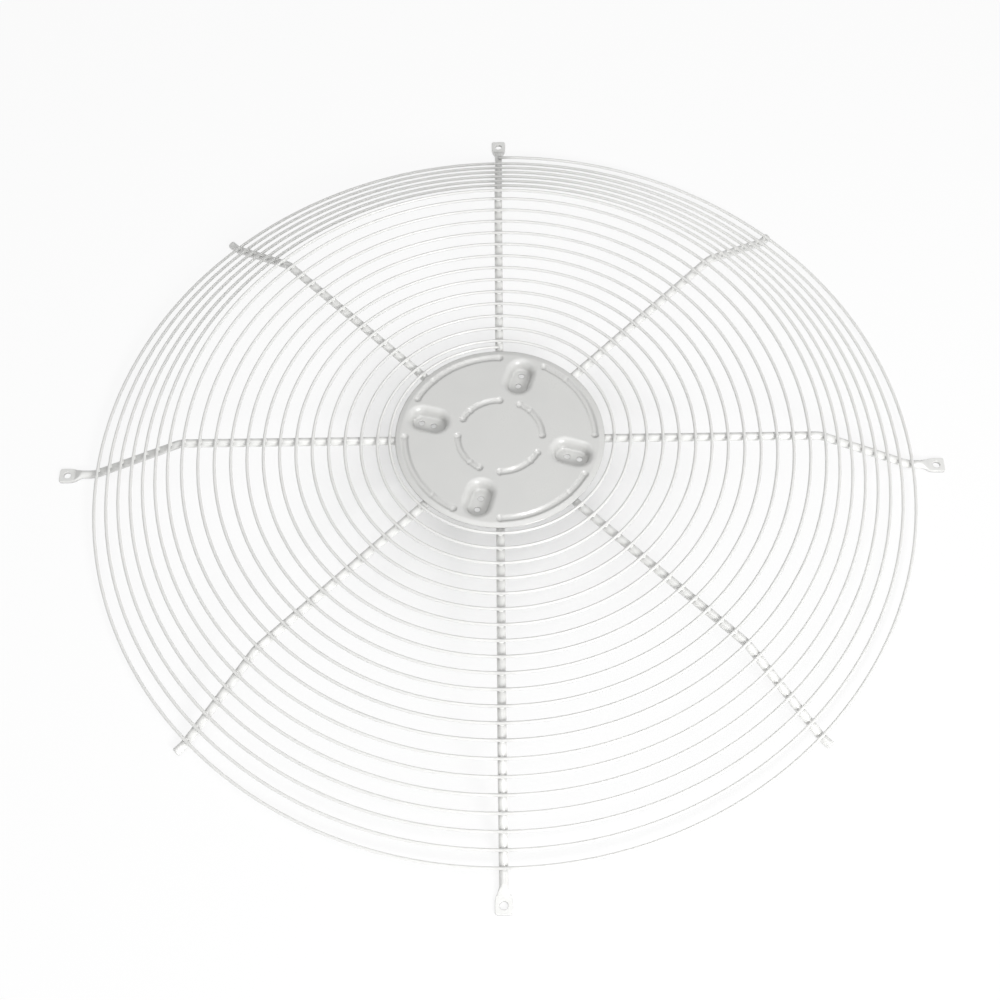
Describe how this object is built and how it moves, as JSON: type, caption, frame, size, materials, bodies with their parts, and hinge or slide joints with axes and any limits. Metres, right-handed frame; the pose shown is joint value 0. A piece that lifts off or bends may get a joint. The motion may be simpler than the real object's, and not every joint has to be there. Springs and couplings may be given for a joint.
{
  "type": "wire fan guard",
  "caption": "Round domed wire guard for an axial fan: a spiral wire welded over radial rods, flat punched mounting lugs and a pressed centre disc with recessed motor pockets.",
  "frame": {"origin": "centre of the mounting plane, which the undersides of the lugs and rod feet lie in", "axes": "+Z along the fan axis, out through the domed face; +X through one lug and +Y through the next, so the outer end of the spiral wire lies on +Y"},
  "size_m": [0.8656, 0.8656, 0.0648],
  "materials": {
    "coated_steel": "light grey powder coat, semi-matt"
  },
  "bodies": {
    "root": {"hub_disc": "coated_steel", "lug_rod_east": "coated_steel", "lug_rod_north": "coated_steel", "lug_rod_west": "coated_steel", "lug_rod_south": "coated_steel", "plain_rod_ne": "coated_steel", "plain_rod_nw": "coated_steel", "plain_rod_sw": "coated_steel", "plain_rod_se": "coated_steel", "spiral_wire": "coated_steel"}
  },
  "joints": []
}
